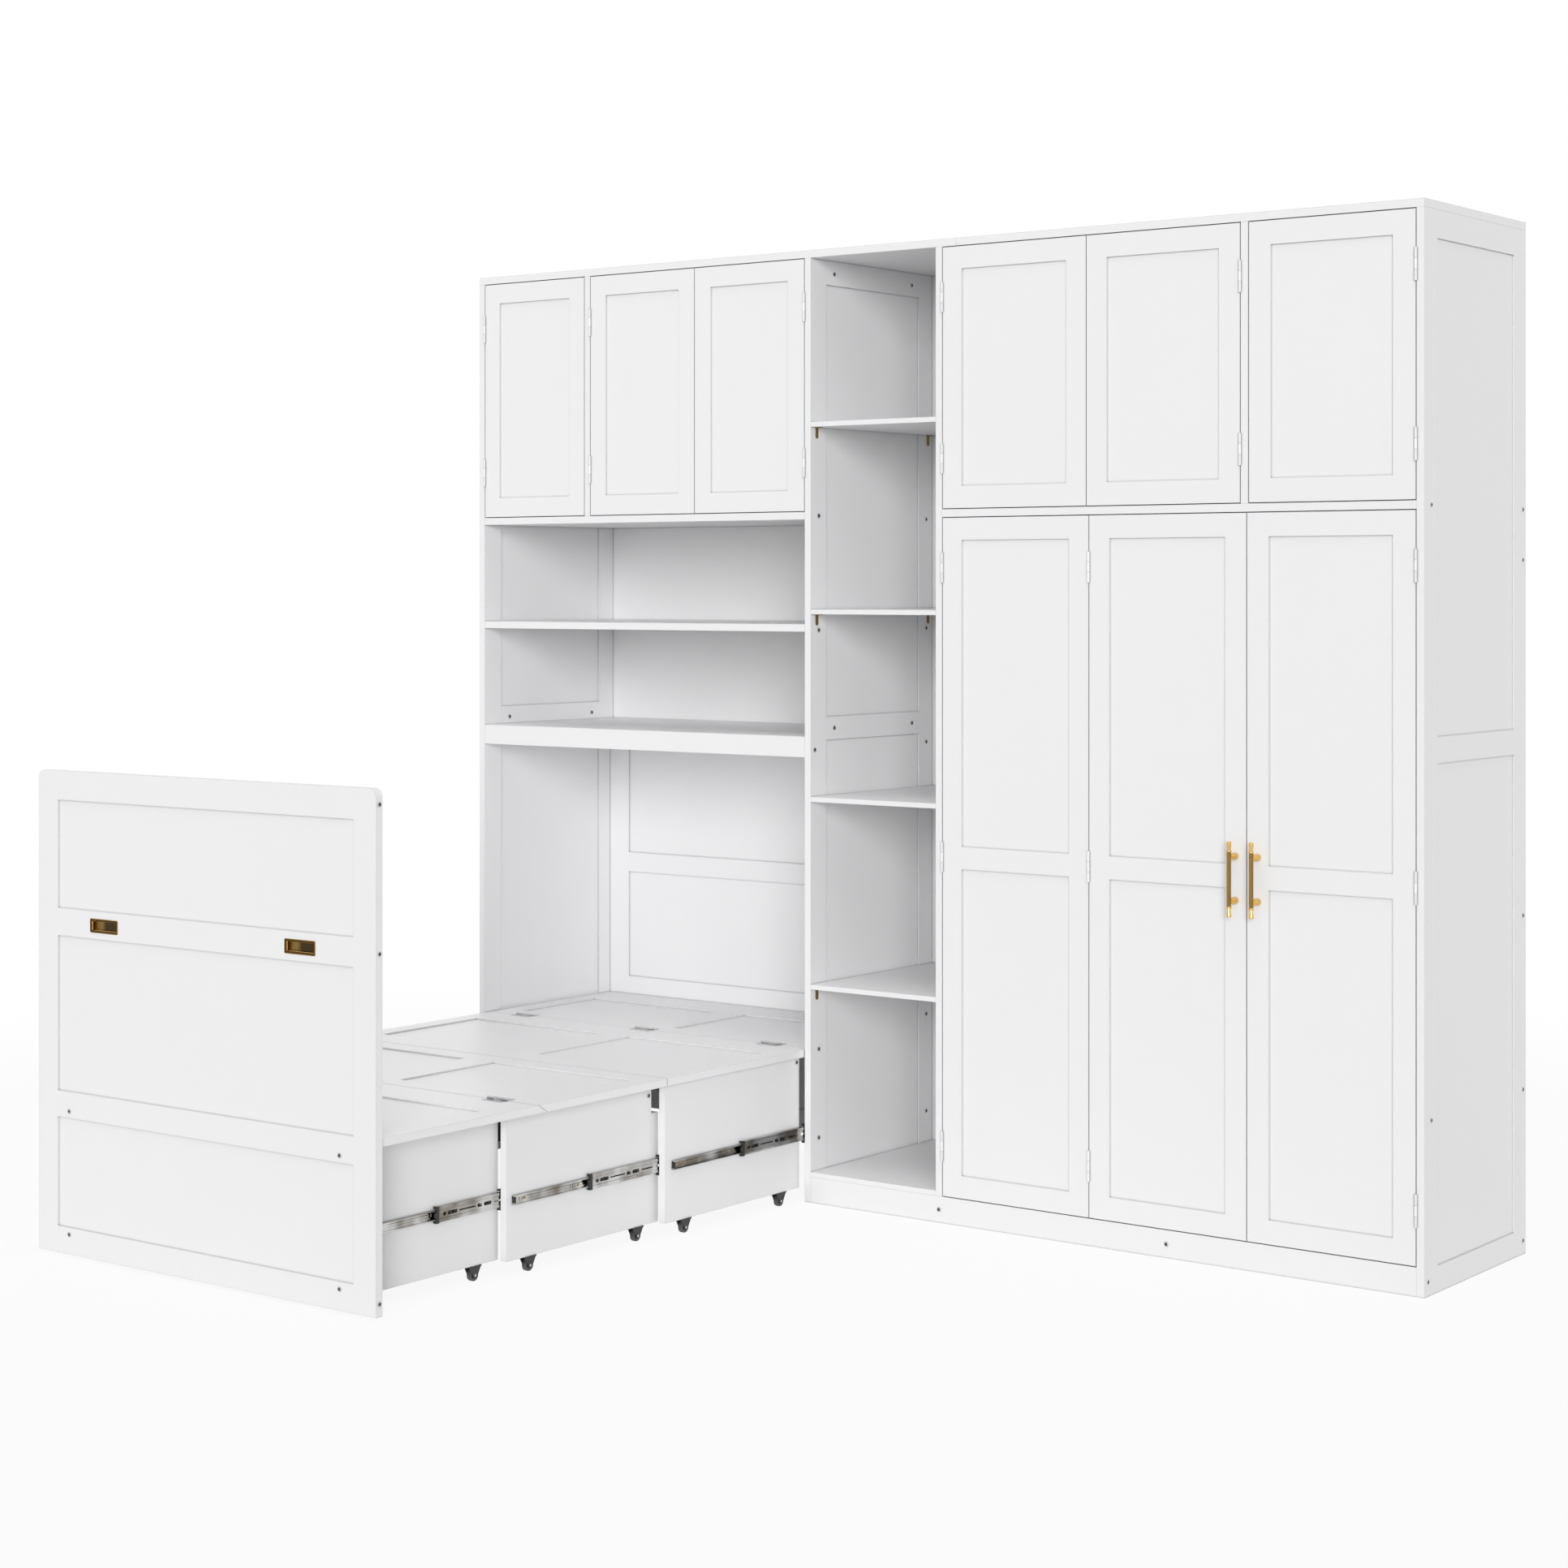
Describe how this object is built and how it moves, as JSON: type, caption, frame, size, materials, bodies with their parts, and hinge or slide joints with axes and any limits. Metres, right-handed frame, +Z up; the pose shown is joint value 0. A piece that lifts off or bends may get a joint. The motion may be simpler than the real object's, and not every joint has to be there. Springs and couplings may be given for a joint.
{
  "type": "wall bed",
  "caption": "Framed wardrobe wall with cupboards and an open shelf tower, and a bed in its bay that pulls out on telescopic sections while its hinged deck unfolds.",
  "frame": {"origin": "centre of the footprint of the whole part with the bed pulled out, on the floor", "axes": "+X to the right seen from the front, +Y towards the wall, +Z up"},
  "size_m": [2.6696, 1.977, 2.29],
  "materials": {
    "white_paint": "satin white paint on wood board",
    "white_metal": "white painted steel",
    "black_metal": "black powder-coated tube",
    "gold_handle": "polished gold-coloured metal, knurled grip",
    "brass_pull": "antique brass",
    "bronze_bracket": "bronze plating",
    "slide_steel": "zinc-plated steel",
    "bright_steel": "nickel-plated steel",
    "grey_plastic": "dark grey moulded plastic",
    "wheel_plastic": "grey moulded plastic"
  },
  "bodies": {
    "cabinet": {"back_boards": "white_paint", "bed_back_frame": "white_paint", "bed_middle_shelf": "white_paint", "bed_tower_upright": "white_paint", "cabinet_bolts": "bright_steel", "cabinet_slide_members": "slide_steel", "cupboard_dividers": "white_paint", "cupboard_floors": "white_paint", "deck_board_1": "white_paint", "deck_cleats": "white_paint", "deck_hinge_leaves_1": "bright_steel", "floor_boards": "white_paint", "hanging_rail": "bright_steel", "headboard_shelf": "white_paint", "jamb_hinge_leaves": "white_metal", "left_side_panel": "white_paint", "plinth_rails": "white_paint", "right_side_panel": "white_paint", "shelf_brackets": "bronze_bracket", "top_boards": "white_paint", "tower_shelves": "white_paint", "tower_wardrobe_upright": "white_paint"},
    "section_1": {"bed_section_1": "white_paint", "section_1_caster_forks": "grey_plastic", "section_1_slide_members": "slide_steel"},
    "section_2": {"bed_section_2": "white_paint", "section_2_caster_forks": "grey_plastic", "section_2_slide_members": "slide_steel"},
    "section_3": {"bed_section_3": "white_paint", "footboard": "white_paint", "footboard_fixings": "bright_steel", "footboard_pulls": "brass_pull", "section_3_caster_forks": "grey_plastic", "section_3_rear_rail": "black_metal", "section_3_slide_members": "slide_steel"},
    "board_2": {"deck_board_2": "white_paint", "deck_hinge_leaves_2": "bright_steel"},
    "board_3": {"deck_board_3": "white_paint", "deck_hinge_leaves_3": "bright_steel"},
    "board_4": {"deck_board_4": "white_paint", "deck_hinge_leaves_4": "bright_steel"},
    "door_1": {"door_1": "white_paint"},
    "door_2": {"door_2": "white_paint"},
    "door_3": {"door_3": "white_paint"},
    "door_4": {"door_4": "white_paint"},
    "door_5": {"door_5": "white_paint"},
    "door_6": {"door_6": "white_paint"},
    "door_7": {"door_7": "white_paint"},
    "door_8": {"door_8": "white_paint", "handle_left": "gold_handle"},
    "door_9": {"door_9": "white_paint", "handle_right": "gold_handle"},
    "section_1_front_wheels": {"section_1_front_wheels": "wheel_plastic"},
    "section_1_rear_wheels": {"section_1_rear_wheels": "wheel_plastic"},
    "section_2_front_wheels": {"section_2_front_wheels": "wheel_plastic"},
    "section_2_rear_wheels": {"section_2_rear_wheels": "wheel_plastic"},
    "section_3_rear_wheels": {"section_3_rear_wheels": "wheel_plastic"},
    "slide_1_middle": {"slide_1_middle_members": "slide_steel"},
    "slide_2_middle": {"slide_2_middle_members": "slide_steel"},
    "slide_3_middle": {"slide_3_middle_members": "slide_steel"}
  },
  "joints": [
    {"name": "bed_slide", "type": "slide", "parent": "cabinet", "child": "section_1", "axis": [0, 1, 0], "range_m": [0, 0.508]},
    {"name": "slide_1_middle_slide", "type": "slide", "parent": "cabinet", "child": "slide_1_middle", "axis": [0, 1, 0], "range_m": [0, 0.254]},
    {"name": "section_2_slide", "type": "slide", "parent": "section_1", "child": "section_2", "axis": [0, 1, 0], "range_m": [0, 0.499]},
    {"name": "slide_2_middle_slide", "type": "slide", "parent": "section_1", "child": "slide_2_middle", "axis": [0, 1, 0], "range_m": [0, 0.2495]},
    {"name": "section_3_slide", "type": "slide", "parent": "section_2", "child": "section_3", "axis": [0, 1, 0], "range_m": [0, 0.415]},
    {"name": "slide_3_middle_slide", "type": "slide", "parent": "section_2", "child": "slide_3_middle", "axis": [0, 1, 0], "range_m": [0, 0.2075]},
    {"name": "board_2_fold", "type": "hinge", "parent": "cabinet", "child": "board_2", "pos_m": [-0.794, 0.4885, 0.369], "axis": [-1, 0, 0], "range_deg": [0, 150.01]},
    {"name": "board_3_fold", "type": "hinge", "parent": "board_2", "child": "board_3", "pos_m": [-0.794, -0.0555, 0.345], "axis": [1, 0, 0], "range_deg": [0, 120.01]},
    {"name": "board_4_fold", "type": "hinge", "parent": "section_3", "child": "board_4", "pos_m": [-0.794, -0.9665, 0.369], "axis": [1, 0, 0], "range_deg": [0, 90.01]},
    {"name": "section_1_front_wheels_spin", "type": "hinge", "parent": "section_1", "child": "section_1_front_wheels", "pos_m": [-0.794, 0.0265, 0.013], "axis": [1, 0, 0], "continuous": true},
    {"name": "section_1_rear_wheels_spin", "type": "hinge", "parent": "section_1", "child": "section_1_rear_wheels", "pos_m": [-0.794, 0.3885, 0.013], "axis": [1, 0, 0], "continuous": true},
    {"name": "section_2_front_wheels_spin", "type": "hinge", "parent": "section_2", "child": "section_2_front_wheels", "pos_m": [-0.794, -0.4715, 0.013], "axis": [1, 0, 0], "continuous": true},
    {"name": "section_2_rear_wheels_spin", "type": "hinge", "parent": "section_2", "child": "section_2_rear_wheels", "pos_m": [-0.794, -0.1085, 0.013], "axis": [1, 0, 0], "continuous": true},
    {"name": "section_3_rear_wheels_spin", "type": "hinge", "parent": "section_3", "child": "section_3_rear_wheels", "pos_m": [-0.794, -0.6125, 0.013], "axis": [1, 0, 0], "continuous": true},
    {"name": "door_1_hinge", "type": "hinge", "parent": "cabinet", "child": "door_1", "pos_m": [-1.315, 0.4613, 1.9665], "axis": [0, 0, -1], "range_deg": [0, 90]},
    {"name": "door_2_hinge", "type": "hinge", "parent": "cabinet", "child": "door_2", "pos_m": [-0.952, 0.4613, 1.9665], "axis": [0, 0, -1], "range_deg": [0, 90]},
    {"name": "door_3_hinge", "type": "hinge", "parent": "cabinet", "child": "door_3", "pos_m": [-0.273, 0.4613, 1.9665], "axis": [0, 0, 1], "range_deg": [0, 90]},
    {"name": "door_4_hinge", "type": "hinge", "parent": "cabinet", "child": "door_4", "pos_m": [0.127, 0.4613, 1.9665], "axis": [0, 0, -1], "range_deg": [0, 90]},
    {"name": "door_5_hinge", "type": "hinge", "parent": "cabinet", "child": "door_5", "pos_m": [0.904, 0.4613, 1.9665], "axis": [0, 0, 1], "range_deg": [0, 90]},
    {"name": "door_6_hinge", "type": "hinge", "parent": "cabinet", "child": "door_6", "pos_m": [1.315, 0.4613, 1.9665], "axis": [0, 0, 1], "range_deg": [0, 90]},
    {"name": "door_7_hinge", "type": "hinge", "parent": "cabinet", "child": "door_7", "pos_m": [0.127, 0.4613, 0.8525], "axis": [0, 0, -1], "range_deg": [0, 90]},
    {"name": "door_8_hinge", "type": "hinge", "parent": "door_7", "child": "door_8", "pos_m": [0.52267, 0.4613, 0.8525], "axis": [0, 0, -1], "range_deg": [0, 150]},
    {"name": "door_9_hinge", "type": "hinge", "parent": "cabinet", "child": "door_9", "pos_m": [1.315, 0.4613, 0.8525], "axis": [0, 0, 1], "range_deg": [0, 90]}
  ],
  "couplings": [
    {"joint": "slide_1_middle_slide", "follows": "bed_slide", "ratio": 0.5},
    {"joint": "section_2_slide", "follows": "bed_slide", "ratio": 0.98228},
    {"joint": "slide_2_middle_slide", "follows": "bed_slide", "ratio": 0.49114},
    {"joint": "section_3_slide", "follows": "bed_slide", "ratio": 0.81693},
    {"joint": "slide_3_middle_slide", "follows": "bed_slide", "ratio": 0.40846},
    {"joint": "board_2_fold", "follows": "bed_slide", "rad_per_m": 5.1535},
    {"joint": "board_3_fold", "follows": "bed_slide", "rad_per_m": 4.1228},
    {"joint": "board_4_fold", "follows": "bed_slide", "rad_per_m": 3.0921}
  ]
}
